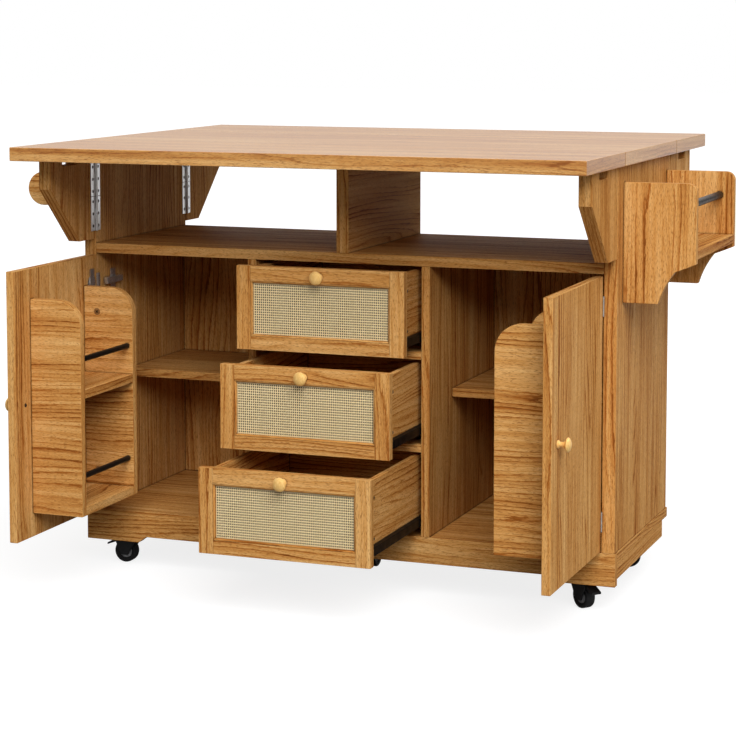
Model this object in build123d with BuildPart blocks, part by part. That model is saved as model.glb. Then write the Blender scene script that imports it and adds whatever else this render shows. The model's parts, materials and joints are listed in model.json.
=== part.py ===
import os
from math import cos, radians, sin, sqrt
from build123d import *

os.makedirs("parts", exist_ok=True)

# Frame: X across the cart, Y towards the rear (the front faces -Y), Z up, floor at Z = 0.
# The origin lies on the floor below the middle of the room that the cart takes up. Doors stand
# open and drawers stand pulled out, as the cart is shown. Places are worked out from the middle
# of the cabinet and moved into this frame on export.

# Table top
top_width = 1200.0
top_thickness = 28.0
top_height = 922.0
leaf_depth = 286.0
seam_gap = 2.0
top_edge_radius = 1.5

# Carcass
top_overhang = 14.0
carcass_depth = 442.0
side_thickness = 27.0
compartment_height = 192.0
deck_thickness = 21.0
base_top = 125.0
base_thickness = 20.0
divider_thickness = 18.0
bay_width = 366.0
bay_shift = -3.0
upper_divider_thickness = 27.0
upper_divider_shift = 8.0
back_thickness = 6.0
back_inset = 6.0
shelf_thickness = 18.0
shelf_rise = 286.0
shelf_depth = 288.0
rail_thickness = 16.0
rail_depth = 60.0
board_edge = 0.8
joint_gap = 0.1

# Base
apron_thickness = 18.0
apron_bottom = 70.0
foot_bottom = 57.0
foot_length = 123.0
foot_slope = 18.0
base_side_lip = 1.5
base_rear_lip = 7.0
side_apron_setback = 44.0
block_size = 64.0

# Support brackets and their hinges
bracket_reach = 190.0
bracket_height = 182.0
bracket_end_height = 63.5
bracket_foot = 67.0
bracket_head_gap = 0.4
bracket_gap = 4.0
notch_start = 51.0
notch_length = 62.0
notch_depth = 18.0
notch_radius = 5.0
hinge_height = 73.0
hinge_pitch = 74.0
hinge_flap = 20.0
hinge_plate = 1.5
barrel_radius = 3.0
pin_radius = 1.4
pin_clearance = 0.08
barrel_gap = 0.5
barrel_seat_gap = 0.4
flap_clearance = 0.5

# Table leaf hinges
leaf_hinge_length = 70.0
leaf_hinge_flap = 32.0
leaf_hinge_places = (-300.0, -110.0, 110.0, 300.0)

# Doors
door_free_gap = 2.4
door_thickness = 18.0
door_gap_bottom = 2.0
door_gap_top = 3.5
left_hinge_gap = 3.6
left_door_lap = 15.7
left_door_standoff = 3.6
right_hinge_gap = 2.5
right_door_lap = -0.7
right_door_standoff = 3.0
cup_radius = 17.5
cup_depth = 11.0
cup_setback = 22.0
cup_flange_thickness = 1.5
cup_flange_height = 62.0
cup_flange_width = 18.0
hinge_end_distance = 60.0
arm_length = 70.0
arm_width = 14.0
arm_thickness = 9.0
arm_setback = 14.0
mount_plate_height = 46.0
mount_plate_width = 22.0
mount_plate_thickness = 2.0
knuckle_clearance = 0.35
knuckle_height = 40.0

# Door racks
rack_offset = 40.0
rack_width = 246.0
rack_depth = 114.0
rack_top_gap = 61.5
rack_bottom = 49.0
rack_board = 18.0
rack_round = 53.0
rack_shelf_rise = 240.0
rack_rod_radius = 5.8
rack_rod_inset = 13.0
rack_rod_rise = 60.0

# Knobs
knob_radius = 14.0
knob_neck_radius = 5.0
knob_rosette_radius = 8.0
knob_rosette_height = 3.0
knob_neck_length = 11.0
knob_head_height = 12.0
knob_dome = 7.0
door_knob_inset = 40.0

# Drawers
drawer_front_gap = 1.2
drawer_front_thickness = 18.0
drawer_stile = 35.0
drawer_rail_bottom = 32.0
drawer_rail_top = 35.0
drawer_bead = 4.0
cane_thickness = 3.0
cane_lap = 8.0
cane_setback = 6.0
cane_clearance = 0.2
box_length = 400.0
box_side = 12.0
box_top_drop = 8.0
box_side_rise = 36.0
box_bottom = 4.0
box_bottom_rise = 8.0
slide_gap = 12.5
runner_wall = 2.0
runner_height = 20.0
runner_clearance = 0.5
runner_length = 390.0
top_drawer_pull = 100.0
middle_drawer_pull = 183.0
bottom_drawer_pull = 288.0

# Spice rack on the right side
spice_reach = 146.0
spice_drop = 34.0
spice_height = 239.0
spice_board = 16.0
spice_span = 380.0
spice_centre = 12.0
spice_corner = 18.0
spice_shelf_drop = 132.0
spice_shelf = 18.0
spice_foot = 71.0
spice_belly = 104.0
spice_waist_rise = 64.0
spice_lip = 8.0
spice_curl = 23.0
spice_hollow = 4.0
spice_rod_radius = 7.8
spice_rod_inset = 31.0
spice_rod_rise = 83.0

# Towel rack on the left side
towel_reach = 146.0
towel_arm_height = 72.0
towel_drop = 80.0
towel_board = 16.0
towel_span = 406.0
towel_bar_radius = 7.0

# Casters
caster_inset = 86.0
caster_y = 170.0
plate_size = 56.0
plate_thickness = 2.5
plate_boss_radius = 15.0
plate_boss_height = 6.0
wheel_radius = 25.0
wheel_width = 22.0
wheel_edge = 3.0
axle_radius = 4.0
axle_clearance = 0.06
trail = 18.0
cheek_thickness = 3.0
cheek_gap = 0.8
crown_radius = 19.0
crown_thickness = 7.0
crown_gap = 0.5
king_radius = 5.0
king_clearance = 0.06
king_length = 5.0
cheek_heel = 10.5
cheek_toe = 9.0
cheek_foot = 7.0
ear_reach = 21.0
ear_bottom = 46.0
ear_top = 52.0
pedal_pin_reach = 16.0
pedal_pin_height = 50.0
pedal_pin_radius = 2.0
pedal_pin_clearance = 0.06
pedal_hub_radius = 4.0
pedal_side_gap = 0.8
pedal_reach = 27.0
pedal_drop = 12.0
pedal_thickness = 4.0

# Derived places
underside = top_height - top_thickness
half_depth = carcass_depth / 2
carcass_width = top_width - 2 * top_overhang
half_width = carcass_width / 2
inner_x = half_width - side_thickness
deck_top = underside - compartment_height
deck_bottom = deck_top - deck_thickness
base_bottom = base_top - base_thickness
bay_height = deck_bottom - base_top
shelf_top = base_top + shelf_rise
bay_left = bay_shift - bay_width / 2
bay_right = bay_shift + bay_width / 2
back_front = half_depth - back_inset - back_thickness
base_half = half_width + base_side_lip
caster_x = half_width - caster_inset
apron_back = -half_depth + apron_thickness
drawer_cell = (bay_height - 2 * rail_thickness) / 3
drawer_front_width = bay_width - 2 * drawer_front_gap
drawer_front_height = drawer_cell - 2 * drawer_front_gap
box_side_height = drawer_front_height - box_side_rise - box_top_drop
bracket_top = underside - bracket_head_gap
bracket_bottom = bracket_top - bracket_height
pin_y = half_depth + bracket_gap / 2
left_door_width = inner_x + bay_left - divider_thickness - left_hinge_gap - door_free_gap
right_door_width = inner_x - bay_right - divider_thickness - right_hinge_gap - door_free_gap
door_reach = max(left_door_standoff + left_door_width, right_door_standoff + right_door_width)
leaf_reach = seam_gap + leaf_depth
to_frame = Location((0, (door_reach - leaf_reach) / 2, 0))
spice_top = underside - spice_drop
spice_bottom = spice_top - spice_height
spice_shelf_top = spice_top - spice_shelf_drop
spice_waist = spice_bottom + spice_waist_rise
towel_axis = underside - towel_drop

# Table top: fixed centre board and two leaves, each leaf with its moving hinge flaps
with BuildPart() as centre_top:
    with Locations((0, 0, underside + top_thickness / 2)):
        Box(top_width, carcass_depth, top_thickness)
    fillet(centre_top.edges().filter_by(Axis.Y), radius=top_edge_radius)
centre_top.part.label = "centre_top"
export_step(to_frame * centre_top.part, "parts/centre_top.step")

leaf_near = half_depth + seam_gap
leaf_pin_y = half_depth + seam_gap / 2
leaf_plate_z = underside - joint_gap - hinge_plate / 2
leaf_pin_z = underside - barrel_seat_gap - barrel_radius
leaf_barrel = leaf_hinge_length / 3
flap_start = barrel_radius + flap_clearance
for side, name in ((-1, "front_leaf"), (1, "rear_leaf")):
    with BuildPart() as leaf:
        with Locations((0, side * (leaf_near + leaf_depth / 2), underside + top_thickness / 2)):
            Box(top_width, leaf_depth, top_thickness)
        outer_edges = leaf.edges().filter_by(Axis.X).group_by(Axis.Y)[0 if side < 0 else -1]
        end_edges = leaf.edges().filter_by(Axis.Y)
        fillet(outer_edges + end_edges, radius=top_edge_radius)
        for place in leaf_hinge_places:
            with Locations((place, side * (leaf_pin_y + (flap_start + leaf_hinge_flap) / 2), leaf_plate_z)):
                Box(leaf_hinge_length, leaf_hinge_flap - flap_start, hinge_plate)
            with Locations((place, side * (leaf_pin_y + flap_start / 2), leaf_plate_z)):
                Box(leaf_barrel - 2 * barrel_gap, flap_start, hinge_plate)
            with Locations(Location((place, side * leaf_pin_y, leaf_pin_z), (0, 90, 0))):
                Cylinder(barrel_radius, leaf_barrel - 2 * barrel_gap)
                Cylinder(pin_radius + pin_clearance, leaf_barrel, mode=Mode.SUBTRACT)
    leaf.part.label = name
    export_step(to_frame * leaf.part, f"parts/{name}.step")

# Side panels
for side, name in ((-1, "left_side_panel"), (1, "right_side_panel")):
    with BuildPart() as panel:
        with Locations((side * (half_width - side_thickness / 2), 0, (base_top + underside) / 2)):
            Box(side_thickness, carcass_depth, underside - base_top)
        chamfer(panel.edges().filter_by(Axis.Z), length=board_edge)
    panel.part.label = name
    export_step(to_frame * panel.part, f"parts/{name}.step")

# Base: floor board, front apron with two feet, side aprons and caster blocks
with BuildPart() as base_board:
    with Locations((0, (apron_back + half_depth + base_rear_lip) / 2, base_top - base_thickness / 2)):
        Box(2 * base_half, half_depth + base_rear_lip - apron_back, base_thickness)
base_board.part.label = "base_board"
export_step(to_frame * base_board.part, "parts/base_board.step")

foot_in = base_half - foot_length
side_apron_rear = half_depth + base_rear_lip - side_apron_setback
side_apron_front = apron_back + joint_gap
with BuildPart() as base_aprons:
    with BuildSketch(Plane.XZ.offset(-apron_back)):
        with BuildLine():
            Polyline((-base_half, base_top), (-base_half, foot_bottom), (-foot_in, foot_bottom),
                     (-foot_in + foot_slope, apron_bottom), (foot_in - foot_slope, apron_bottom),
                     (foot_in, foot_bottom), (base_half, foot_bottom), (base_half, base_top), close=True)
        make_face()
    extrude(amount=apron_thickness)
    for side in (-1, 1):
        with Locations((side * (base_half - apron_thickness / 2), (side_apron_front + side_apron_rear) / 2,
                        (apron_bottom + base_bottom) / 2)):
            Box(apron_thickness, side_apron_rear - side_apron_front, base_bottom - apron_bottom)
base_aprons.part.label = "base_aprons"
export_step(to_frame * base_aprons.part, "parts/base_aprons.step")

# Caster places: swivel axis X and Y, and the way each wheel trails, in degrees from +X
caster_places = {
    "front_left": (-caster_x, -caster_y, 180.0),
    "front_right": (caster_x, -caster_y, -39.0),
    "rear_left": (-caster_x, caster_y, 60.0),
    "rear_right": (caster_x, caster_y, 20.0),
    "middle": (0.0, 0.0, -90.0),
}
with BuildPart() as caster_blocks:
    with Locations(*[(x, y, (apron_bottom + base_bottom) / 2) for x, y, turn in caster_places.values()]):
        Box(block_size, block_size, base_bottom - apron_bottom)
caster_blocks.part.label = "caster_blocks"
export_step(to_frame * caster_blocks.part, "parts/caster_blocks.step")

# Deck, dividers, back, shelves and drawer rails
with BuildPart() as deck_board:
    with Locations((0, 0, deck_top - deck_thickness / 2)):
        Box(2 * inner_x, carcass_depth, deck_thickness)
deck_board.part.label = "deck_board"
export_step(to_frame * deck_board.part, "parts/deck_board.step")

with BuildPart() as upper_divider:
    with Locations((upper_divider_shift, 0, (deck_top + underside) / 2)):
        Box(upper_divider_thickness, carcass_depth, underside - deck_top)
    chamfer(upper_divider.edges().filter_by(Axis.Z), length=board_edge)
upper_divider.part.label = "upper_divider"
export_step(to_frame * upper_divider.part, "parts/upper_divider.step")

with BuildPart() as bay_dividers:
    for x in (bay_left - divider_thickness / 2, bay_right + divider_thickness / 2):
        with Locations((x, (back_front - half_depth) / 2, base_top + bay_height / 2)):
            Box(divider_thickness, back_front + half_depth, bay_height)
bay_dividers.part.label = "bay_dividers"
export_step(to_frame * bay_dividers.part, "parts/bay_dividers.step")

with BuildPart() as back_panel:
    with Locations((0, back_front + back_thickness / 2, base_top + bay_height / 2)):
        Box(2 * inner_x, back_thickness, bay_height)
back_panel.part.label = "back_panel"
export_step(to_frame * back_panel.part, "parts/back_panel.step")

with BuildPart() as cabinet_shelves:
    for x0, x1 in ((-inner_x, bay_left - divider_thickness), (bay_right + divider_thickness, inner_x)):
        with Locations(((x0 + x1) / 2, back_front - shelf_depth / 2, shelf_top - shelf_thickness / 2)):
            Box(x1 - x0, shelf_depth, shelf_thickness)
cabinet_shelves.part.label = "cabinet_shelves"
export_step(to_frame * cabinet_shelves.part, "parts/cabinet_shelves.step")

with BuildPart() as drawer_rails:
    for step in (1, 2):
        rail_z = base_top + step * (drawer_cell + rail_thickness) - rail_thickness / 2
        with Locations((bay_shift, -half_depth + rail_depth / 2, rail_z)):
            Box(bay_width, rail_depth, rail_thickness)
drawer_rails.part.label = "drawer_rails"
export_step(to_frame * drawer_rails.part, "parts/drawer_rails.step")

# Support brackets: boards in line with the side panels, each with the flaps of two stacked butt hinges
plate_x = inner_x - joint_gap - hinge_plate / 2
pin_x = inner_x - barrel_seat_gap - barrel_radius
bracket_near = half_depth + bracket_gap
bracket_far = bracket_near + bracket_reach
notch_middle = bracket_far - notch_start - notch_length / 2
hinge_mid = bracket_bottom + bracket_height / 2
hinge_levels = (hinge_mid - hinge_pitch / 2, hinge_mid + hinge_pitch / 2)
barrel = hinge_height / 3
for end, row in ((-1, "front"), (1, "rear")):
    for side, hand in ((-1, "left"), (1, "right")):
        name = f"{row}_{hand}_bracket"
        with BuildPart() as bracket:
            with BuildSketch(Plane.YZ.offset(-half_width if side < 0 else inner_x)):
                with BuildLine():
                    Polyline((end * bracket_near, bracket_top), (end * bracket_far, bracket_top),
                             (end * bracket_far, bracket_top - bracket_end_height),
                             (end * (bracket_near + bracket_foot), bracket_bottom),
                             (end * bracket_near, bracket_bottom), close=True)
                make_face()
                with Locations((end * notch_middle, bracket_top)):
                    RectangleRounded(notch_length, 2 * notch_depth, notch_radius, mode=Mode.SUBTRACT)
            extrude(amount=side_thickness)
            chamfer(bracket.edges().filter_by(Axis.Z), length=board_edge)
            for level in hinge_levels:
                with Locations((side * plate_x, end * (pin_y + (flap_start + hinge_flap) / 2), level)):
                    Box(hinge_plate, hinge_flap - flap_start, hinge_height)
                with Locations((side * plate_x, end * (pin_y + flap_start / 2), level)):
                    Box(hinge_plate, flap_start, barrel - 2 * barrel_gap)
                with Locations((side * pin_x, end * pin_y, level)):
                    Cylinder(barrel_radius, barrel - 2 * barrel_gap)
                    Cylinder(pin_radius + pin_clearance, barrel, mode=Mode.SUBTRACT)
        bracket.part.label = name
        export_step(to_frame * bracket.part, f"parts/{name}.step")

# Fixed flaps and pins of the table hinges and of the bracket hinges
with BuildPart() as fixed_hinge_flaps:
    for side in (-1, 1):
        for place in leaf_hinge_places:
            with Locations((place, side * (leaf_pin_y - (flap_start + leaf_hinge_flap) / 2), leaf_plate_z)):
                Box(leaf_hinge_length, leaf_hinge_flap - flap_start, hinge_plate)
            for end in (-1, 1):
                spot = place + end * leaf_barrel
                with Locations((spot, side * (leaf_pin_y - flap_start / 2), leaf_plate_z)):
                    Box(leaf_barrel, flap_start, hinge_plate)
                with Locations(Location((spot, side * leaf_pin_y, leaf_pin_z), (0, 90, 0))):
                    Cylinder(barrel_radius, leaf_barrel)
            with Locations(Location((place, side * leaf_pin_y, leaf_pin_z), (0, 90, 0))):
                Cylinder(pin_radius, leaf_hinge_length)
    for end in (-1, 1):
        for side in (-1, 1):
            for level in hinge_levels:
                with Locations((side * plate_x, end * (pin_y - (flap_start + hinge_flap) / 2), level)):
                    Box(hinge_plate, hinge_flap - flap_start, hinge_height)
                for half in (-1, 1):
                    with Locations((side * plate_x, end * (pin_y - flap_start / 2), level + half * barrel)):
                        Box(hinge_plate, flap_start, barrel)
                    with Locations((side * pin_x, end * pin_y, level + half * barrel)):
                        Cylinder(barrel_radius, barrel)
                with Locations((side * pin_x, end * pin_y, level)):
                    Cylinder(pin_radius, hinge_height)
fixed_hinge_flaps.part.label = "fixed_hinge_flaps"
export_step(to_frame * fixed_hinge_flaps.part, "parts/fixed_hinge_flaps.step")

# Half outline of a knob: radius along local X, height away from the board along local Y
knob_top = knob_rosette_height + knob_neck_length + knob_head_height
knob_rim = knob_top - knob_dome
dome_radius = (knob_radius ** 2 + knob_dome ** 2) / (2 * knob_dome)
dome_drop = dome_radius - sqrt(dome_radius ** 2 - (knob_radius / 2) ** 2)


def knob_outline():
    Polyline((0, knob_top), (0, 0), (knob_rosette_radius, 0), (knob_rosette_radius, knob_rosette_height),
             (knob_neck_radius, knob_rosette_height),
             (knob_neck_radius, knob_rosette_height + knob_neck_length), (knob_radius, knob_rim))
    ThreePointArc((knob_radius, knob_rim), (knob_radius / 2, knob_top - dome_drop), (0, knob_top))


# Doors, shown open at a right angle, each with knob, hinge cups and inner rack.
# A closed door is flush with the cabinet front, so the swing axis follows from where the
# door stands open and where it stands closed.
door_bottom = base_top + door_gap_bottom
door_height = bay_height - door_gap_bottom - door_gap_top
door_middle = door_bottom + door_height / 2
cup_levels = (door_bottom + hinge_end_distance, door_bottom + door_height - hinge_end_distance)
rack_low = door_bottom + rack_bottom
rack_height = door_height - rack_bottom - rack_top_gap
hands = (("left", -1, left_door_width, left_hinge_gap, left_door_lap, left_door_standoff),
         ("right", 1, right_door_width, right_hinge_gap, right_door_lap, right_door_standoff))
for hand, side, door_width, hinge_gap, lap, standoff in hands:
    outer = inner_x + lap
    inner = outer - door_thickness
    hinge_edge = -half_depth - standoff
    free_edge = hinge_edge - door_width
    cup_y = hinge_edge - cup_setback
    with BuildPart() as door:
        with Locations((side * (outer + inner) / 2, (hinge_edge + free_edge) / 2, door_middle)):
            Box(door_thickness, door_width, door_height)
        chamfer(door.edges(), length=board_edge)
        with Locations(*[Location((side * inner, cup_y, z), (0, 90, 0)) for z in cup_levels]):
            Cylinder(cup_radius + joint_gap, 2 * (cup_depth + joint_gap), mode=Mode.SUBTRACT)
    door.part.label = f"{hand}_door"
    export_step(to_frame * door.part, f"parts/{hand}_door.step")

    # Hinge cup sunk in the door and its flange on the door's inner face
    with BuildPart() as cups:
        for z in cup_levels:
            with Locations(Location((side * (inner + cup_depth / 2), cup_y, z), (0, 90, 0))):
                Cylinder(cup_radius, cup_depth)
            with Locations((side * (inner - joint_gap - cup_flange_thickness / 2), cup_y, z)):
                Box(cup_flange_thickness, cup_flange_width, cup_flange_height)
            with Locations(Location((side * (inner - joint_gap / 2), cup_y, z), (0, 90, 0))):
                Cylinder(cup_flange_width / 2, joint_gap)
    cups.part.label = f"{hand}_door_hinge_cups"
    export_step(to_frame * cups.part, f"parts/{hand}_door_hinge_cups.step")

    knob_y = free_edge + door_knob_inset
    with BuildPart() as knob:
        with BuildSketch(Plane(origin=(side * outer, knob_y, door_middle), x_dir=(0, 0, 1),
                               z_dir=(0, side, 0))):
            with BuildLine():
                knob_outline()
            make_face()
        revolve(axis=Axis((side * outer, knob_y, door_middle), (1, 0, 0)))
    knob.part.label = f"{hand}_door_knob"
    export_step(to_frame * knob.part, f"parts/{hand}_door_knob.step")

    # Inner rack: two arched boards, bottom shelf, middle shelf and two guard rods
    rack_in = inner - joint_gap
    rack_out = rack_in - rack_depth
    board_near = hinge_edge - rack_offset
    board_far = board_near - rack_width
    rack_rods_at = rack_out + rack_rod_inset
    with BuildPart() as rack:
        for front in (board_near - rack_board, board_far):
            with BuildSketch(Plane.XZ.offset(-front - rack_board)):
                with BuildLine():
                    rack_head = rack_low + rack_height
                    Polyline((side * rack_out, rack_head - rack_round),
                             (side * rack_out, rack_low), (side * rack_in, rack_low),
                             (side * rack_in, rack_head), (side * (rack_out + rack_round), rack_head))
                    on_round = rack_round * (1 - 0.5 ** 0.5)
                    ThreePointArc((side * (rack_out + rack_round), rack_head),
                                  (side * (rack_out + on_round), rack_head - on_round),
                                  (side * rack_out, rack_head - rack_round))
                make_face()
            extrude(amount=rack_board)
        shelf_span = rack_width - 2 * (rack_board + joint_gap)
        for low in (rack_low, rack_low + rack_shelf_rise):
            with Locations((side * (rack_in + rack_out) / 2, (board_near + board_far) / 2,
                            low + rack_board / 2)):
                Box(rack_depth, shelf_span, rack_board)
        for low in (rack_low, rack_low + rack_shelf_rise):
            rod_z = low + rack_board + rack_rod_rise
            rod_middle = (side * rack_rods_at, (board_near + board_far) / 2, rod_z)
            with Locations(Location(rod_middle, (90, 0, 0))):
                Cylinder(rack_rod_radius, shelf_span)
    rack.part.label = f"{hand}_door_rack"
    export_step(to_frame * rack.part, f"parts/{hand}_door_rack.step")

# Door hinge arms and mounting plates on the side panels, and the knuckles that the door edges turn about
arm_front = -half_depth + door_thickness + arm_setback
with BuildPart() as door_hinge_arms:
    for hand, side, door_width, hinge_gap, lap, standoff in hands:
        axis_out = (lap + standoff - hinge_gap) / 2
        axis_x = inner_x + axis_out
        axis_y = -half_depth + lap - axis_out
        knuckle_radius = axis_out + hinge_gap - knuckle_clearance
        for z in cup_levels:
            with Locations((side * axis_x, axis_y, z)):
                Cylinder(knuckle_radius, knuckle_height)
            with Locations((side * (half_width - side_thickness / 2), 0, z)):
                Box(side_thickness + 2 * joint_gap, carcass_depth + 2 * joint_gap, 2 * knuckle_height,
                    mode=Mode.SUBTRACT)
    for side in (-1, 1):
        for z in cup_levels:
            with Locations((side * (inner_x - mount_plate_thickness / 2), arm_front + arm_length * 0.6, z)):
                Box(mount_plate_thickness, mount_plate_width, mount_plate_height)
            with Locations((side * (inner_x - mount_plate_thickness - arm_thickness / 2),
                            arm_front + arm_length / 2, z)):
                Box(arm_thickness, arm_length, arm_width)
door_hinge_arms.part.label = "door_hinge_arms"
export_step(to_frame * door_hinge_arms.part, "parts/door_hinge_arms.step")

# Drawers, each shown pulled out by its own amount
side_x = bay_width / 2 - slide_gap
pulls = (("bottom", 0, bottom_drawer_pull), ("middle", 1, middle_drawer_pull), ("top", 2, top_drawer_pull))
for level, row, pull in pulls:
    cell_low = base_top + row * (drawer_cell + rail_thickness)
    front_low = cell_low + drawer_front_gap
    front_mid = front_low + drawer_front_height / 2
    front_y = -half_depth - pull
    front_back = front_y + drawer_front_thickness
    open_width = drawer_front_width - 2 * drawer_stile
    open_height = drawer_front_height - drawer_rail_bottom - drawer_rail_top
    open_mid = front_low + drawer_rail_bottom + open_height / 2
    with BuildPart() as front:
        with BuildSketch(Plane.XZ.offset(-front_back)):
            with Locations((bay_shift, front_mid)):
                Rectangle(drawer_front_width, drawer_front_height)
            with Locations((bay_shift, open_mid)):
                Rectangle(open_width, open_height, mode=Mode.SUBTRACT)
        extrude(amount=drawer_front_thickness)
        front_face = front.faces().sort_by(Axis.Y)[0]
        chamfer(front_face.inner_wires()[0].edges(), length=drawer_bead)
        chamfer(front.faces().sort_by(Axis.Y)[0].outer_wire().edges(), length=board_edge)
        with Locations((bay_shift, front_back - (drawer_front_thickness - cane_setback) / 2, open_mid)):
            Box(open_width + 2 * cane_lap, drawer_front_thickness - cane_setback,
                open_height + 2 * cane_lap, mode=Mode.SUBTRACT)
    front.part.label = f"{level}_drawer_front"
    export_step(to_frame * front.part, f"parts/{level}_drawer_front.step")

    with BuildPart() as cane:
        with Locations((bay_shift, front_y + cane_setback + cane_clearance + cane_thickness / 2, open_mid)):
            Box(open_width + 2 * (cane_lap - cane_clearance), cane_thickness,
                open_height + 2 * (cane_lap - cane_clearance))
    cane.part.label = f"{level}_drawer_cane"
    export_step(to_frame * cane.part, f"parts/{level}_drawer_cane.step")

    box_low = front_low + box_side_rise
    box_near = front_back + joint_gap
    with BuildPart() as box:
        for side in (-1, 1):
            with Locations((bay_shift + side * (side_x - box_side / 2), box_near + box_length / 2,
                            box_low + box_side_height / 2)):
                Box(box_side, box_length, box_side_height)
        between = 2 * (side_x - box_side - joint_gap)
        with Locations((bay_shift, box_near + box_length - box_side / 2, box_low + box_side_height / 2)):
            Box(between, box_side, box_side_height)
        floor_length = box_length - box_side - joint_gap
        with Locations((bay_shift, box_near + floor_length / 2,
                        box_low + box_bottom_rise + box_bottom / 2)):
            Box(between, floor_length, box_bottom)
    box.part.label = f"{level}_drawer_box"
    export_step(to_frame * box.part, f"parts/{level}_drawer_box.step")

    knob_z = front_low + drawer_front_height - drawer_rail_top / 2
    with BuildPart() as knob:
        with BuildSketch(Plane(origin=(bay_shift, front_y, knob_z), x_dir=(1, 0, 0), z_dir=(0, 0, -1))):
            with BuildLine():
                knob_outline()
            make_face()
        revolve(axis=Axis((bay_shift, front_y, knob_z), (0, 1, 0)))
    knob.part.label = f"{level}_drawer_knob"
    export_step(to_frame * knob.part, f"parts/{level}_drawer_knob.step")

    # Moving runners under the box sides
    bar_height = runner_height - runner_wall - runner_clearance
    bar_width = box_side + slide_gap - runner_wall - runner_clearance
    with BuildPart() as runners:
        for side in (-1, 1):
            bar_x = side_x - box_side + bar_width / 2
            with Locations((bay_shift + side * bar_x, box_near + box_length / 2,
                            box_low - joint_gap - bar_height / 2)):
                Box(bar_width, box_length, bar_height)
    runners.part.label = f"{level}_drawer_runners"
    export_step(to_frame * runners.part, f"parts/{level}_drawer_runners.step")

# Fixed runners: angles on the bay dividers, one pair for each drawer
with BuildPart() as runner_rails:
    for row in range(3):
        lip_top = (base_top + row * (drawer_cell + rail_thickness) + drawer_front_gap + box_side_rise
                   - joint_gap - bar_height - runner_clearance)
        rail_near = -half_depth + drawer_front_thickness + drawer_front_gap
        for side in (-1, 1):
            wall_x = bay_width / 2 - runner_wall / 2
            with Locations((bay_shift + side * wall_x, rail_near + runner_length / 2,
                            lip_top - runner_wall + runner_height / 2)):
                Box(runner_wall, runner_length, runner_height)
            lip_width = box_side + slide_gap
            lip_x = bay_width / 2 - lip_width / 2
            with Locations((bay_shift + side * lip_x, rail_near + runner_length / 2,
                            lip_top - runner_wall / 2)):
                Box(lip_width, runner_length, runner_wall)
runner_rails.part.label = "runner_rails"
export_step(to_frame * runner_rails.part, "parts/runner_rails.step")

# Spice rack on the right side panel
spice_near = spice_centre - spice_span / 2
with BuildPart() as spice_rack:
    for front in (spice_near, spice_near + spice_span - spice_board):
        with BuildSketch(Plane.XZ.offset(-front - spice_board)):
            with BuildLine():
                outside = half_width + spice_reach
                shelf_low = spice_shelf_top - spice_shelf
                Polyline((half_width + spice_foot, spice_bottom), (half_width, spice_bottom),
                         (half_width, spice_top), (outside - spice_corner, spice_top))
                RadiusArc((outside - spice_corner, spice_top), (outside, spice_top - spice_corner),
                          spice_corner)
                Line((outside, spice_top - spice_corner), (outside, shelf_low - spice_lip))
                ThreePointArc((outside, shelf_low - spice_lip),
                              (half_width + spice_belly + spice_curl, shelf_low - 2 * spice_lip),
                              (half_width + spice_belly, spice_waist))
                ThreePointArc((half_width + spice_belly, spice_waist),
                              (half_width + (spice_belly + spice_foot) / 2 - spice_hollow,
                               (spice_waist + spice_bottom) / 2),
                              (half_width + spice_foot, spice_bottom))
            make_face()
        extrude(amount=spice_board)
    with Locations((half_width + spice_reach / 2, spice_centre, spice_shelf_top - spice_shelf / 2)):
        Box(spice_reach, spice_span - 2 * (spice_board + joint_gap), spice_shelf)
spice_rack.part.label = "spice_rack"
export_step(to_frame * spice_rack.part, "parts/spice_rack.step")

with BuildPart() as spice_rack_rod:
    with Locations(Location((half_width + spice_reach - spice_rod_inset, spice_centre,
                             spice_shelf_top + spice_rod_rise), (90, 0, 0))):
        Cylinder(spice_rod_radius, spice_span - 2 * spice_board)
spice_rack_rod.part.label = "spice_rack_rod"
export_step(to_frame * spice_rack_rod.part, "parts/spice_rack_rod.step")

# Towel rack on the left side panel: two round-ended arms and a bar
arm_end = towel_reach - towel_arm_height / 2
with BuildPart() as towel_rack:
    for front in (-towel_span / 2, towel_span / 2 - towel_board):
        with BuildSketch(Plane.XZ.offset(-front - towel_board)):
            with Locations((-half_width - arm_end / 2, towel_axis)):
                Rectangle(arm_end, towel_arm_height)
            with Locations((-half_width - arm_end, towel_axis)):
                Circle(towel_arm_height / 2)
        extrude(amount=towel_board)
    with Locations(Location((-half_width - arm_end, 0, towel_axis), (90, 0, 0))):
        Cylinder(towel_bar_radius, towel_span - 2 * (towel_board + joint_gap))
towel_rack.part.label = "towel_rack"
export_step(to_frame * towel_rack.part, "parts/towel_rack.step")

# Casters: plates under the blocks, then for each caster its fork and wheel
plate_low = apron_bottom - plate_thickness
boss_low = plate_low - plate_boss_height
crown_top = boss_low - crown_gap
crown_low = crown_top - crown_thickness
with BuildPart() as caster_plates:
    with Locations(*[(x, y, apron_bottom - plate_thickness / 2) for x, y, turn in caster_places.values()]):
        Box(plate_size, plate_size, plate_thickness)
    with Locations(*[(x, y, plate_low - plate_boss_height / 2) for x, y, turn in caster_places.values()]):
        Cylinder(plate_boss_radius, plate_boss_height)
    with Locations(*[(x, y, boss_low) for x, y, turn in caster_places.values()]):
        Cylinder(king_radius + king_clearance, 2 * (king_length + crown_gap), mode=Mode.SUBTRACT)
caster_plates.part.label = "caster_plates"
export_step(to_frame * caster_plates.part, "parts/caster_plates.step")

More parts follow.
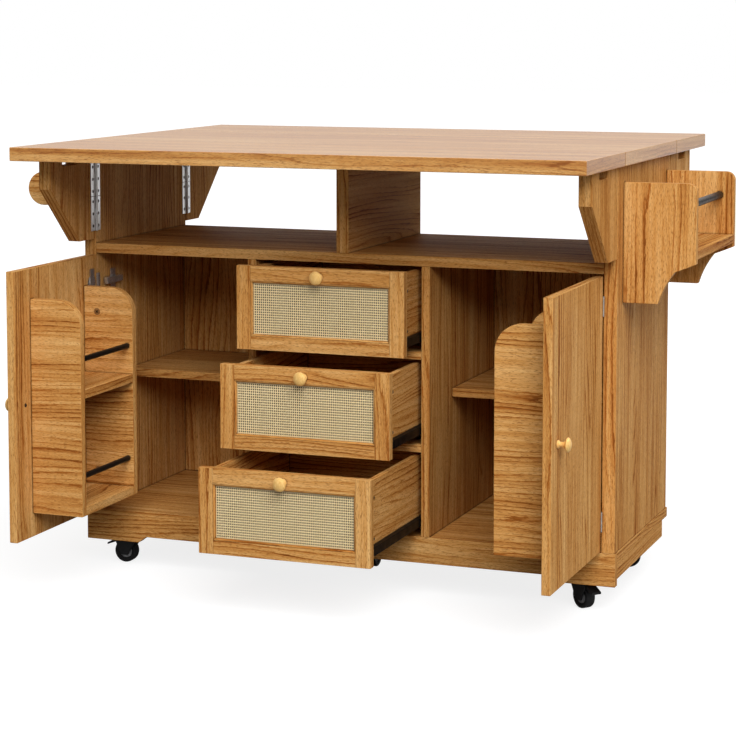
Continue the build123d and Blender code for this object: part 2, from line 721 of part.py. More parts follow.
cheek_in = wheel_width / 2 + cheek_gap
cheek_out = cheek_in + cheek_thickness
for spot, (x, y, turn) in caster_places.items():
    braked = spot.startswith("front")
    ahead = (cos(radians(turn)), sin(radians(turn)))
    side_plane = Plane(origin=(x, y, 0), x_dir=(ahead[0], ahead[1], 0), z_dir=(ahead[1], -ahead[0], 0))
    with BuildPart() as fork:
        with Locations((x, y, crown_low + crown_thickness / 2)):
            Cylinder(crown_radius, crown_thickness)
        with Locations((x, y, crown_top + king_length / 2)):
            Cylinder(king_radius, king_length)
        for offset in (-cheek_out, cheek_in):
            with BuildSketch(side_plane.offset(offset)):
                with BuildLine():
                    Polyline((-cheek_heel, crown_top), (-cheek_heel, crown_low),
                             (trail - cheek_toe, wheel_radius - cheek_foot),
                             (trail + cheek_toe, wheel_radius - cheek_foot),
                             (trail + ear_reach, ear_bottom), (trail + ear_reach, ear_top),
                             (crown_radius, crown_top), close=True)
                make_face()
            extrude(amount=cheek_thickness)
        with BuildSketch(side_plane.offset(-cheek_out)):
            with Locations((trail, wheel_radius)):
                Circle(axle_radius)
            if braked:
                with Locations((trail + pedal_pin_reach, pedal_pin_height)):
                    Circle(pedal_pin_radius)
        extrude(amount=2 * cheek_out)
    fork.part.label = f"{spot}_caster_fork"
    export_step(to_frame * fork.part, f"parts/{spot}_caster_fork.step")

    with BuildPart() as wheel:
        with BuildSketch(side_plane.offset(-wheel_width / 2)):
            with Locations((trail, wheel_radius)):
                Circle(wheel_radius)
        extrude(amount=wheel_width)
        fillet(wheel.edges().filter_by(GeomType.CIRCLE), radius=wheel_edge)
        with BuildSketch(side_plane.offset(-wheel_width / 2)):
            with Locations((trail, wheel_radius)):
                Circle(axle_radius + axle_clearance)
        extrude(amount=wheel_width, mode=Mode.SUBTRACT)
    wheel.part.label = f"{spot}_caster_wheel"
    export_step(to_frame * wheel.part, f"parts/{spot}_caster_wheel.step")

    # Brake pedals on the two front casters, each on a pin between the ears of its fork
    if braked:
        pin_at = (trail + pedal_pin_reach, pedal_pin_height)
        tip_at = (pin_at[0] + pedal_reach, pin_at[1] - pedal_drop)
        pedal_half = cheek_in - pedal_side_gap
        with BuildPart() as pedal:
            with BuildSketch(side_plane.offset(-pedal_half)):
                with BuildLine():
                    Polyline((pin_at[0], pin_at[1] - pedal_hub_radius),
                             (tip_at[0], tip_at[1] - pedal_thickness / 2),
                             (tip_at[0], tip_at[1] + pedal_thickness / 2),
                             (pin_at[0], pin_at[1] + pedal_hub_radius), close=True)
                make_face()
                with Locations(pin_at):
                    Circle(pedal_hub_radius)
                    Circle(pedal_pin_radius + pedal_pin_clearance, mode=Mode.SUBTRACT)
            extrude(amount=2 * pedal_half)
        pedal.part.label = f"{spot}_brake_pedal"
        export_step(to_frame * pedal.part, f"parts/{spot}_brake_pedal.step")
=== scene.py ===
"""Kitchen cart in honey oak veneer: drop-leaf top, cane-fronted drawers, doors with racks, on casters."""

import json
from math import cos, pi, radians, sin

import bmesh
import bpy
from mathutils import Matrix, Vector

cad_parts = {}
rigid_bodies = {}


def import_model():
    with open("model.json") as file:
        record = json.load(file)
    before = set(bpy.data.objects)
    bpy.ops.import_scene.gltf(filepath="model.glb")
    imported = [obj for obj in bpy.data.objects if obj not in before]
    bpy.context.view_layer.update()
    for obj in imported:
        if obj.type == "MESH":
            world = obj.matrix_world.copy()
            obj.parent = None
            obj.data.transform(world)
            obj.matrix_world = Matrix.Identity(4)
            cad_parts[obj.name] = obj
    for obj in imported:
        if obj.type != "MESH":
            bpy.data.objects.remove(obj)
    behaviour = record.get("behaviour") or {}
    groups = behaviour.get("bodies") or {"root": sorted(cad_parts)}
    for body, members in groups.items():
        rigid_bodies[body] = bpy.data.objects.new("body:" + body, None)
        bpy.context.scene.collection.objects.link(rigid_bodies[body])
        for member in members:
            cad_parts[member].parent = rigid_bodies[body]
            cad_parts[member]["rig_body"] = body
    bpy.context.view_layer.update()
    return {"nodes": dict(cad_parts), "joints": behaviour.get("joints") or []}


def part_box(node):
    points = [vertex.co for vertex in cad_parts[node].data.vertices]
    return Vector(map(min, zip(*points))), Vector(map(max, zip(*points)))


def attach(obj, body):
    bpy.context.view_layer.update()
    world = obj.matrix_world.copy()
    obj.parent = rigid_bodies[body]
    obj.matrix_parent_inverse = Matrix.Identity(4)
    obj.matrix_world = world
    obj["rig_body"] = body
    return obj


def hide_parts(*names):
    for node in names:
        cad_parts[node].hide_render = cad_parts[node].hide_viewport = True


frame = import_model()

# Carcass.
# The cabinet is sawn from particle board laid with oak veneer: two sides, two bay dividers, base, deck,
# shelves and back, joined with dowels and cam screws. Cut edges are covered with strips of the same veneer.


def tint(code):
    """The linear colour of an sRGB hex code."""
    parts = [int(code[k : k + 2], 16) / 255 for k in (1, 3, 5)]
    return (*[p / 12.92 if p <= 0.04045 else ((p + 0.055) / 1.055) ** 2.4 for p in parts], 1.0)


def add(tree, kind, links=None, stops=(), **settings):
    """One node with its settings and, on a colour ramp, its (place, hex code) stops.
    Each input is a socket to link, a list of sockets or a value."""
    node = tree.nodes.new(kind)
    for name, value in settings.items():
        setattr(node, name, value)
    for key, value in (links or {}).items():
        for item in value if isinstance(value, list) else [value]:
            if isinstance(item, bpy.types.NodeSocket):
                tree.links.new(item, node.inputs[key])
            else:
                node.inputs[key].default_value = item
    if stops:
        band = node.color_ramp.elements
        while len(band) < len(stops):
            band.new(0.5)
        for stop, (place, code) in zip(band, stops):
            stop.position = place
            stop.color = tint(code)
    return node.outputs[0] if node.outputs else node


# In what follows, inputs 1 to 4 of a Map Range are the range that comes in and the range that goes out.
# Inputs 6 and 7 of a Mix are its two colours, inputs 2 and 3 its two numbers, and output 2 is the colour.


def oak_veneer(name, gloss, coat=0.0, strip=0.0):
    """Oak veneer under satin lacquer, with its roughness, the weight of a clear coat on it and, where the
    veneer is laid in strips, their width. The lacquer gives a broad soft sheen. The cut through the growth
    rings gives dark jagged lines that run with the board and close into arches. The open pores give short
    dark dashes, drawn about twice as wide as real ones, or they would be lost at this distance."""
    stuff = bpy.data.materials.new(name)
    stuff.use_nodes = True
    tree = stuff.node_tree
    grain = add(tree, "ShaderNodeAttribute", attribute_name="grain").node.outputs["Vector"]
    axes = add(tree, "ShaderNodeSeparateXYZ", {0: grain}).node.outputs

    def fibres(length, width, detail=2.0):
        """Noise drawn out along the grain, with features of that length and width in metres."""
        board_step = 7.3
        scale = (1 / length, 1 / width, board_step)
        place = add(tree, "ShaderNodeVectorMath", {0: grain, 1: scale}, operation="MULTIPLY")
        drawn = {"Vector": place, "Scale": 1.0, "Detail": detail, "Roughness": 0.55}
        return add(tree, "ShaderNodeTexNoise", drawn)

    # growth rings, 12 mm apart where the cut is flat, bent by slow waves and frayed by the fibres
    ring_gap = 0.012
    depth = axes["Y"]
    for wave, reach in (
        (fibres(0.90, 0.15, detail=1.0), 0.14),
        (fibres(0.45, 0.03, detail=1.0), 0.035),
        (fibres(0.024, 0.0018), 0.0055),
    ):
        depth = add(tree, "ShaderNodeMath", {0: wave, 1: reach, 2: depth}, operation="MULTIPLY_ADD")
    ring = add(tree, "ShaderNodeMath", {0: depth, 1: ring_gap}, operation="DIVIDE")
    ring = add(tree, "ShaderNodeMath", {0: ring}, operation="FRACT")
    # across one ring, pale early wood darkens slowly and ends in a sharp dark line of late wood
    ring = add(tree, "ShaderNodeFloatCurve", {"Value": ring})
    curve = ring.node.mapping.curves[0]
    curve.points[0].location = (0.0, 0.40)
    curve.points[1].location = (1.0, 0.85)
    for place, height in ((0.09, 0.04), (0.60, 0.10), (0.84, 0.42), (0.95, 1.0)):
        curve.points.new(place, height)
    ring.node.mapping.update()
    # the rings stand out in broad bands and fade between them
    broad = fibres(0.50, 0.045, detail=1.0)
    strength = add(tree, "ShaderNodeMapRange", {"Value": broad, 1: 0.34, 2: 0.66, 3: 0.10, 4: 1.0})
    ring = add(tree, "ShaderNodeMath", {0: ring, 1: strength}, operation="MULTIPLY")
    # how dark the wood is: streaks, bands, fibres, rings and the board's own tone, each with its share
    board = add(tree, "ShaderNodeTexWhiteNoise", {1: axes["Z"]}, noise_dimensions="1D")
    layers = [
        (fibres(0.40, 0.011), 0.48),
        (broad, 0.30),
        (fibres(0.025, 0.0014), 0.34),
        (ring, 0.20 if strip else 0.38),
        (board, 0.07),
    ]
    dark = -0.04 if strip else -0.02
    if strip:
        # each strip has its own tone, and a seam of 4 mm shows beside it on the upper face
        seam_share = 0.045
        lane = add(tree, "ShaderNodeMath", {0: axes["Y"], 1: strip}, operation="DIVIDE")
        seam = add(tree, "ShaderNodeMath", {0: lane}, operation="FRACT")
        seam = add(tree, "ShaderNodeMath", {0: seam, 1: seam_share}, operation="LESS_THAN")
        upward = add(tree, "ShaderNodeTexCoord").node.outputs["Normal"]
        upward = add(tree, "ShaderNodeSeparateXYZ", {0: upward}).node.outputs["Z"]
        seam = add(tree, "ShaderNodeMath", {0: seam, 1: upward}, operation="MULTIPLY", use_clamp=True)
        lane = add(tree, "ShaderNodeMath", {0: lane}, operation="FLOOR")
        lane = add(tree, "ShaderNodeTexWhiteNoise", {1: lane}, noise_dimensions="1D")
        layers += [(lane, 0.12), (seam, 0.30)]
    for layer, share in layers:
        dark = add(tree, "ShaderNodeMath", {0: layer, 1: share, 2: dark}, operation="MULTIPLY_ADD")
    shades = ((0.36, "#DEB274"), (0.62, "#C08949"), (0.84, "#995922"), (1.0, "#723C15"))
    colour = add(tree, "ShaderNodeValToRGB", {"Fac": dark}, stops=shades)
    # pores, 8 mm long, crowd in the dark line of a ring
    pores = fibres(0.008, 0.0010, detail=1.0)
    pores = add(tree, "ShaderNodeMath", {0: ring, 1: 0.12, 2: pores}, operation="MULTIPLY_ADD")
    pores = add(tree, "ShaderNodeMapRange", {"Value": pores, 1: 0.55, 2: 0.67, 3: 0.0, 4: 0.65})
    # the fine dark line in the joint between two boards is drawn as painted shade: within 4 mm of a corner
    # the wood darkens by how much the nearby faces hide of the room
    corner = 0.004
    joint = add(tree, "ShaderNodeAmbientOcclusion", {"Distance": corner}, samples=4).node.outputs["AO"]
    joint = add(tree, "ShaderNodeMapRange", {"Value": joint, 1: 0.50, 2: 0.85, 3: 0.8, 4: 0.0})
    # the pores are mixed in, then the painted shade at the corners in a near-black brown
    for share, code in ((pores, "#7A4820"), (joint, "#2A1608")):
        stain = {0: share, 6: colour, 7: tint(code)}
        colour = add(tree, "ShaderNodeMix", stain, data_type="RGBA").node.outputs[2]
    skin = tree.nodes["Principled BSDF"]
    tree.links.new(colour, skin.inputs["Base Color"])
    sheen = add(tree, "ShaderNodeMapRange", {"Value": dark, 1: 0.3, 2: 1.0, 3: gloss, 4: gloss + 0.12})
    tree.links.new(sheen, skin.inputs["Roughness"])
    skin.inputs["IOR"].default_value = 1.45
    skin.inputs["Specular IOR Level"].default_value = 0.02
    skin.inputs["Coat Weight"].default_value = coat
    skin.inputs["Coat Roughness"].default_value = 0.30
    skin.inputs["Coat IOR"].default_value = 1.6
    bump = add(tree, "ShaderNodeBump", {"Height": pores, "Strength": 0.25, "Distance": -0.0003})
    tree.links.new(bump, skin.inputs["Normal"])
    return stuff


oak = oak_veneer("honey oak veneer, satin lacquered", gloss=0.46)
ALONG = {"X": 0, "Y": 1, "Z": 2}
# each board is cut from its own place: steps in metres along the log, across it, and from face to face
LOG_STEP, CROSS_STEP, FACE_STEP = 1.37, 0.73, 0.19
boards_laid = 0


def solids_of(node):
    """A node's shape with its facets merged: one mesh for each solid in it."""
    whole = bmesh.new()
    whole.from_mesh(frame["nodes"][node].data)
    bmesh.ops.remove_doubles(whole, verts=whole.verts, dist=2e-5)
    bmesh.ops.dissolve_limit(whole, angle_limit=radians(1), verts=whole.verts, edges=whole.edges)
    whole.verts.index_update()
    seen, shapes = set(), []
    for first in whole.verts:
        if first.index in seen:
            continue
        seen.add(first.index)
        near, group = [first], []
        while near:
            vert = near.pop()
            group.append(vert)
            for edge in vert.link_edges:
                other = edge.other_vert(vert)
                if other.index not in seen:
                    seen.add(other.index)
                    near.append(other)
        shape = bmesh.new()
        group.sort(key=lambda v: v.index)
        copies = {v.index: shape.verts.new(v.co) for v in group}
        faces = sorted({f for v in group for f in v.link_faces}, key=lambda f: [v.index for v in f.verts])
        for face in faces:
            shape.faces.new([copies[v.index] for v in face.verts])
        shapes.append(shape)
    whole.free()
    return shapes


def baked(piece):
    """Turns a piece's modifiers into plain mesh."""
    graph = bpy.context.evaluated_depsgraph_get()
    result = piece.evaluated_get(graph)
    mesh = bpy.data.meshes.new_from_object(result, preserve_all_data_layers=True, depsgraph=graph)
    old = piece.data
    piece.modifiers.clear()
    piece.data = mesh
    bpy.data.meshes.remove(old)
    mesh.name = piece.name
    return piece


def eased(name, shapes, edge, stuff, runs=None):
    """One piece of these shapes with each sharp edge taken off by edge metres.
    runs gives the way the grain runs in each shape, "" for the longest way."""
    global boards_laid
    whole, laid = bmesh.new(), []
    for shape in shapes:
        mesh = bpy.data.meshes.new(name)
        shape.to_mesh(mesh)
        part = bpy.data.objects.new(name, mesh)
        bpy.context.scene.collection.objects.link(part)
        if edge:
            arris = part.modifiers.new("eased edge", "BEVEL")
            arris.width = edge
            arris.segments = 2
            arris.limit_method = "ANGLE"
            arris.angle_limit = radians(40)
            baked(part)
        laid.append(len(part.data.polygons))
        whole.from_mesh(part.data)
        mesh = part.data
        bpy.data.objects.remove(part)
        bpy.data.meshes.remove(mesh)
    mesh = bpy.data.meshes.new(name)
    whole.to_mesh(mesh)
    whole.free()
    mesh.materials.append(stuff)
    for face in mesh.polygons:
        face.use_smooth = True
    if runs is not None:
        layer = mesh.attributes.new("grain", "FLOAT_VECTOR", "CORNER")
        start = 0
        for count, run in zip(laid, runs):
            boards_laid += 1
            faces = mesh.polygons[start : start + count]
            start += count
            spots = [mesh.vertices[v].co for face in faces for v in face.vertices]
            size = [max(s[k] for s in spots) - min(s[k] for s in spots) for k in range(3)]
            way = ALONG[run] if run else size.index(max(size))
            for face in faces:
                facing = max(range(3), key=lambda k: abs(face.normal[k]))
                others = [k for k in range(3) if k != facing]
                long = way if way != facing else max(others, key=lambda k: size[k])
                wide = 3 - facing - long
                for corner in face.loop_indices:
                    spot = mesh.vertices[mesh.loops[corner].vertex_index].co
                    layer.data[corner].vector = (
                        spot[long] + LOG_STEP * boards_laid,
                        spot[wide] + CROSS_STEP * boards_laid + FACE_STEP * facing,
                        boards_laid,
                    )
    piece = bpy.data.objects.new(name, mesh)
    bpy.context.scene.collection.objects.link(piece)
    piece.modifiers.new("flat faces", "WEIGHTED_NORMAL").weight = 90
    return baked(piece)


def fitted(piece, node):
    """The piece takes the place of a node and moves with its body."""
    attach(piece, frame["nodes"][node]["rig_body"])
    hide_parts(node)
    return piece


def joinery(node, run="", edge=0.0009):
    """A node of plain boards, worked in oak."""
    shapes = solids_of(node)
    return fitted(eased(node + "_boards", shapes, edge, oak, [run] * len(shapes)), node)


for node, run in (
    ("left_side_panel", "Z"),
    ("right_side_panel", "Z"),
    ("bay_dividers", "Z"),
    ("back_panel", "Z"),
    ("base_board", "X"),
    ("deck_board", "X"),
    ("cabinet_shelves", "X"),
    ("upper_divider", "Y"),
    ("drawer_rails", "X"),
    ("base_aprons", ""),
    ("caster_blocks", "X"),
):
    joinery(node, run)

# Table top.
# The top is a fixed board over the cabinet and a leaf hinged to each long edge of it. Each board is laid with
# strips of veneer edge to edge, so fine seams run the length of the table, and lipped with oak all round.

oak_strips = oak_veneer("oak veneer laid in strips, lacquered", gloss=0.40, coat=1.0, strip=0.088)
leaf_flaps = {}
for node in ("centre_top", "front_leaf", "rear_leaf"):
    shapes = sorted(solids_of(node), key=lambda s: -s.calc_volume())
    leaf_flaps[node] = shapes[1:]
    fitted(eased(node + "_board", shapes[:1], edge=0.0008, stuff=oak_strips, runs=["X"]), node)

# Leaf brackets.
# Four gates of board, one at each corner under the leaves, cut to a long slant below. Each swings out on two
# butt hinges screwed to its inner face and to the side panel, and a notch in its top clears the leaf hinge.

bracket_flaps = {}
for node in ("front_left_bracket", "front_right_bracket", "rear_left_bracket", "rear_right_bracket"):
    shapes = sorted(solids_of(node), key=lambda s: -s.calc_volume())
    bracket_flaps[node] = shapes[1:]
    fitted(eased(node + "_board", shapes[:1], edge=0.0009, stuff=oak, runs=["Z"]), node)

# Butt hinges.
# Pressed steel butt hinges, bright zinc plated: leaves of 1.5 mm sheet rolled round a pin, countersunk for
# screws. Two sit on each bracket and four under each leaf of the table.


def finish(name, pale, deep, blotch, rough, metal=0.0, stretch=(1, 1, 1), shine=0.5):
    """A surface whose colour and gloss drift between two values over blotches of that size in metres."""
    stuff = bpy.data.materials.new(name)
    stuff.use_nodes = True
    tree = stuff.node_tree
    skin = tree.nodes["Principled BSDF"]
    place = add(tree, "ShaderNodeTexCoord").node.outputs["Object"]
    place = add(tree, "ShaderNodeVectorMath", {0: place, 1: stretch}, operation="MULTIPLY")
    cloud = add(tree, "ShaderNodeTexNoise", {"Vector": place, "Scale": 1 / blotch, "Detail": 3.0})
    colour = add(tree, "ShaderNodeValToRGB", {"Fac": cloud}, stops=((0.3, deep), (0.7, pale)))
    tree.links.new(colour, skin.inputs["Base Color"])
    gloss = add(tree, "ShaderNodeMapRange", {"Value": cloud, 1: 0.3, 2: 0.7, 3: rough[0], 4: rough[1]})
    tree.links.new(gloss, skin.inputs["Roughness"])
    skin.inputs["Metallic"].default_value = metal
    skin.inputs["Specular IOR Level"].default_value = shine
    return stuff


# bright plating: cool white, lightly clouded, with clear highlights
zinc = finish(
    "bright zinc plated sheet steel", "#F4F4F2", "#E2E3E4", blotch=0.030, rough=(0.26, 0.36), metal=0.75
)
for node, flaps in {**leaf_flaps, **bracket_flaps}.items():
    if flaps:
        fitted(eased(node + "_hinge_flaps", flaps, edge=0.0003, stuff=zinc), node)
fixed_flaps = eased("hinge_flaps_on_the_cabinet", solids_of("fixed_hinge_flaps"), edge=0.0003, stuff=zinc)
fitted(fixed_flaps, "fixed_hinge_flaps")

# Doors.
# Two slab doors of veneered board, grain upright, each bored inside for two hinge cups and carrying a rack
# of two round-shouldered boards, two shelves and two guard rods, screwed on from behind.

# lacquered tube: near black with a soft highlight along it
black_tube = finish(
    "black lacquered steel tube", "#191614", "#0E0C0B", blotch=0.010, rough=(0.36, 0.50), shine=0.2
)
for side in ("left", "right"):
    joinery(side + "_door", "Z", edge=0.0010)
    node = side + "_door_rack"
    shapes = sorted(solids_of(node), key=lambda s: -s.calc_volume())
    boards = eased(node + "_boards", shapes[:4], edge=0.0012, stuff=oak, runs=["X", "X", "Y", "Y"])
    fitted(boards, node)
    fitted(eased(node + "_rods", shapes[4:], edge=0.0003, stuff=black_tube), node)

# Cup hinges.
# Concealed cabinet hinges, nickel plated: a drilled-in cup in the door and an arm on a cross plate screwed to
# the side. They are pressed and folded from sheet, with rounded corners.

# nickel is a warmer and darker white than zinc, and the folds hold dark reflections
nickel = finish(
    "nickel plated pressed steel", "#E4E0DA", "#C4BEB6", blotch=0.025, rough=(0.14, 0.22), metal=0.80
)
for node in ("left_door_hinge_cups", "right_door_hinge_cups", "door_hinge_arms"):
    fitted(eased(node + "_plated", solids_of(node), edge=0.0005, stuff=nickel), node)

# Drawers.
# Each drawer is a box of thin veneered sides and back with a bottom let in, behind a framed front: stiles,
# rails between them and a small rounded bead round the window. It rides on black steel runners.

STILE, TOP_RAIL, FOOT_RAIL = 0.035, 0.035, 0.032
# the rails lie a hair behind the stiles, and the bead a little further back
RAIL_SET_BACK, BEAD_SET_BACK = 0.0002, 0.0006
BEAD, BEAD_DEPTH, BEAD_STEPS = 0.004, 0.017, 5


def plank(low, high):
    """A squared board between two corners, in metres."""
    shape = bmesh.new()
    bmesh.ops.create_cube(shape, size=1.0)
    low, high = Vector(low), Vector(high)
    for vert in shape.verts:
        vert.co = Vector([low[k] if vert.co[k] < 0 else high[k] for k in range(3)])
    return shape


# rolled steel under a black coat: dull, with rubbed lighter patches
black_steel = finish(
    "black coated rolled steel", "#131211", "#0A0909", blotch=0.018, rough=(0.42, 0.58), shine=0.15
)
windows = {}
for drawer in ("bottom", "middle", "top"):
    node = drawer + "_drawer_front"
    low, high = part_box(node)
    left, right = low.x + STILE - BEAD, high.x - STILE + BEAD
    foot, head = low.z + FOOT_RAIL - BEAD, high.z - TOP_RAIL + BEAD
    frame_boards = [
        plank(low, (left, high.y, high.z)),
        plank((right, low.y, low.z), high),
        plank((left, low.y + RAIL_SET_BACK, low.z), (right, high.y, foot)),
        plank((left, low.y + RAIL_SET_BACK, head), (right, high.y, high.z)),
    ]
    framed = eased(node + "_frame", frame_boards, edge=0.0007, stuff=oak, runs=["Z", "Z", "X", "X"])
    fitted(framed, node)
    # the bead: a quarter round carried round the window with mitred corners
    profile = [(0.0, BEAD_DEPTH)]
    for k in range(BEAD_STEPS + 1):
        turn = pi / 2 * k / BEAD_STEPS
        profile.append((BEAD * sin(turn), BEAD * (1 - cos(turn)) + BEAD_SET_BACK))
    profile.append((BEAD, BEAD_DEPTH))
    corners = [(left, foot, 1, 1), (right, foot, -1, 1), (right, head, -1, -1), (left, head, 1, -1)]
    sides = []
    for a, b in zip(corners, corners[1:] + corners[:1]):
        strip = bmesh.new()
        ends = [
            [strip.verts.new((x + sx * inset, low.y + depth, z + sz * inset)) for inset, depth in profile]
            for x, z, sx, sz in (a, b)
        ]
        for k in range(len(profile)):
            n = (k + 1) % len(profile)
            strip.faces.new([ends[0][k], ends[0][n], ends[1][n], ends[1][k]])
        strip.faces.new(ends[0][::-1])
        strip.faces.new(ends[1])
        bmesh.ops.recalc_face_normals(strip, faces=strip.faces)
        sides.append(strip)
    fitted(eased(node + "_bead", sides, edge=0.0, stuff=oak, runs=["X", "Z", "X", "Z"]), node)
    windows[drawer] = (left + BEAD, right - BEAD, foot + BEAD, head - BEAD)
    joinery(drawer + "_drawer_box", edge=0.0006)
    node = drawer + "_drawer_runners"
    fitted(eased(node + "_coated", solids_of(node), edge=0.0012, stuff=black_steel), node)
rails = eased("runner_rails_coated", solids_of("runner_rails"), edge=0.0010, stuff=black_steel)
fitted(rails, "runner_rails")

# Cane panels.
# The windows are filled with machine-woven cane: flat split strands, over one and under one, about 4.5 mm
# apart across and 5.0 mm apart up the panel, with a small square hole between them, in front of a near-black
# sheet that paints the shade seen through the holes.

# split cane keeps a waxy skin: straw coloured, drifting from strand to strand
cane = finish("split rattan cane, natural skin", "#E8D4A8", "#D5BE90", blotch=0.004, rough=(0.40, 0.55))
# painted shade: a near-black sheet behind the weave makes the holes dark, standing in for the shade seen
# through them
hole_shade_sheet = finish("near-black sheet painting the shade in the cane's holes", "#1E1206", "#150C04", blotch=0.003, rough=(0.80, 0.95))
# the cane runs in under the bead; behind the panel's face lie the middle of the weave and the dark sheet
TUCK, WEAVE_DEPTH, SHEET_FACE, SHEET_BACK = 0.001, 0.0011, 0.0024, 0.0029
# a strand thins towards its edges, where it keeps 1 - 2.2 / 4 of its thickness
THINNING = 2.2
weave = bpy.data.node_groups.new("cane weave", "GeometryNodeTree")
weave.interface.new_socket("Geometry", in_out="OUTPUT", socket_type="NodeSocketGeometry")
weave_sizes = {}
for name, kind in (
    ("Panel width", "Float"),
    ("Panel height", "Float"),
    ("Strands across", "Int"),
    ("Strands up", "Int"),
    ("Upright strand width", "Float"),
    ("Level strand width", "Float"),
    ("Strand thickness", "Float"),
    ("Lift", "Float"),
):
    socket = weave.interface.new_socket(name, in_out="INPUT", socket_type="NodeSocket" + kind)
    weave_sizes[name] = socket.identifier
given = add(weave, "NodeGroupInput").node.outputs


def strands(length, count, rise, crossings, width, lift):
    """count flat strands laid along X and stepped up Z, each waving over and under the strands it crosses."""
    steps = add(weave, "ShaderNodeMath", {0: crossings, 1: 2.0, 2: 1.0}, operation="MULTIPLY_ADD")
    size = add(weave, "ShaderNodeCombineXYZ", {0: length, 1: given["Strand thickness"], 2: width})
    bar = add(weave, "GeometryNodeMeshCube", {0: size, 1: steps, 2: 2, 3: 3})
    spot = add(weave, "ShaderNodeSeparateXYZ", {0: add(weave, "GeometryNodeInputPosition")}).node.outputs
    # half a wave from each crossing to the next
    pitch = add(weave, "ShaderNodeMath", {0: length, 1: crossings}, operation="DIVIDE")
    phase = add(weave, "ShaderNodeMath", {0: spot[0], 1: pitch}, operation="DIVIDE")
    phase = add(weave, "ShaderNodeMath", {0: crossings, 1: 0.5, 2: phase}, operation="MULTIPLY_ADD")
    phase = add(weave, "ShaderNodeMath", {0: phase, 1: 0.5}, operation="SUBTRACT")
    phase = add(weave, "ShaderNodeMath", {0: phase, 1: pi}, operation="MULTIPLY")
    wave = add(weave, "ShaderNodeMath", {0: phase}, operation="COSINE")
    wave = add(weave, "ShaderNodeMath", {0: wave, 1: lift}, operation="MULTIPLY")
    crown = add(weave, "ShaderNodeMath", {0: spot[2], 1: width}, operation="DIVIDE")
    crown = add(weave, "ShaderNodeMath", {0: crown, 1: crown}, operation="MULTIPLY")
    crown = add(weave, "ShaderNodeMath", {0: crown, 1: -THINNING}, operation="MULTIPLY")
    shift = add(weave, "ShaderNodeMath", {0: spot[1], 1: crown, 2: wave}, operation="MULTIPLY_ADD")
    shift = add(weave, "ShaderNodeCombineXYZ", {1: shift})
    bar = add(weave, "GeometryNodeSetPosition", {0: bar, "Offset": shift})
    # the strands stand half a gap in from the panel's edges, and every second one is turned over
    gap = add(weave, "ShaderNodeMath", {0: rise, 1: count}, operation="DIVIDE")
    start = add(weave, "ShaderNodeMath", {0: rise, 1: gap}, operation="SUBTRACT")
    start = add(weave, "ShaderNodeMath", {0: start, 1: -0.5}, operation="MULTIPLY")
    start = add(weave, "ShaderNodeCombineXYZ", {2: start})
    gap = add(weave, "ShaderNodeCombineXYZ", {2: gap})
    line = add(weave, "GeometryNodeMeshLine", {"Count": count, "Start Location": start, "Offset": gap})
    place = add(weave, "GeometryNodeInputIndex")
    turn = add(weave, "ShaderNodeMath", {0: place, 1: 2.0}, operation="MODULO")
    turn = add(weave, "ShaderNodeMath", {0: turn, 1: pi}, operation="MULTIPLY")
    turn = add(weave, "ShaderNodeCombineXYZ", {0: turn})
    return add(weave, "GeometryNodeInstanceOnPoints", {"Points": line, "Instance": bar, "Rotation": turn})


level = strands(
    given["Panel width"],
    given["Strands up"],
    given["Panel height"],
    given["Strands across"],
    given["Level strand width"],
    given["Lift"],
)
upright = strands(
    given["Panel height"],
    given["Strands across"],
    given["Panel width"],
    given["Strands up"],
    given["Upright strand width"],
    add(weave, "ShaderNodeMath", {0: given["Lift"], 1: -1.0}, operation="MULTIPLY"),
)
upright = add(weave, "GeometryNodeTransform", {"Geometry": upright, "Rotation": (0, pi / 2, 0)})
woven = add(weave, "GeometryNodeJoinGeometry", {0: [level, upright]})
woven = add(weave, "GeometryNodeRealizeInstances", {0: woven})
woven = add(weave, "GeometryNodeSetMaterial", {0: woven, "Material": cane})
add(weave, "NodeGroupOutput", {0: woven})
for drawer, (left, right, foot, head) in windows.items():
    node = drawer + "_drawer_cane"
    panel = bpy.data.objects.new(node + "_weave", bpy.data.meshes.new("cane"))
    bpy.context.scene.collection.objects.link(panel)
    loom = panel.modifiers.new("weave", "NODES")
    loom.node_group = weave
    for name, value in (
        ("Panel width", right - left + 2 * TUCK),
        ("Panel height", head - foot + 2 * TUCK),
        ("Strands across", 65),
        ("Strands up", 21),
        ("Upright strand width", 0.0018),
        ("Level strand width", 0.0022),
        ("Strand thickness", 0.0007),
        ("Lift", 0.0004),
    ):
        loom[weave_sizes[name]] = value
    baked(panel)
    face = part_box(node)[0].y
    panel.data.transform(Matrix.Translation(((left + right) / 2, face + WEAVE_DEPTH, (foot + head) / 2)))
    fitted(panel, node)
    # painted shade: the near-black sheet behind the weave, which darkens the holes
    low = (left - TUCK, face + SHEET_FACE, foot - TUCK)
    high = (right + TUCK, face + SHEET_BACK, head + TUCK)
    fitted(eased(node + "_hole_shade_sheet", [plank(low, high)], edge=0.0, stuff=hole_shade_sheet), node)

# Knobs.
# Five small turned knobs: a round foot, a short neck and a domed head like a mushroom. They are turned
# in brass, lacquered a satin gold, and held by a screw from inside.

# radius and height of each point of the profile, in millimetres
KNOB = (
    (0, 0), (7.6, 0), (8, 0.5), (8, 2.2), (7.4, 2.9), (5.6, 3.2), (5, 4.2), (4.9, 8), (5.2, 11), (6.4, 13.6),
    (9.0, 15.8), (12.2, 17.6), (13.6, 18.5), (14, 19.5), (13.7, 20.6), (12.5, 22.0), (10.4, 23.5),
    (7.6, 24.8), (4.0, 25.7), (0, 26),
)
KNOB_LENGTH = 0.026


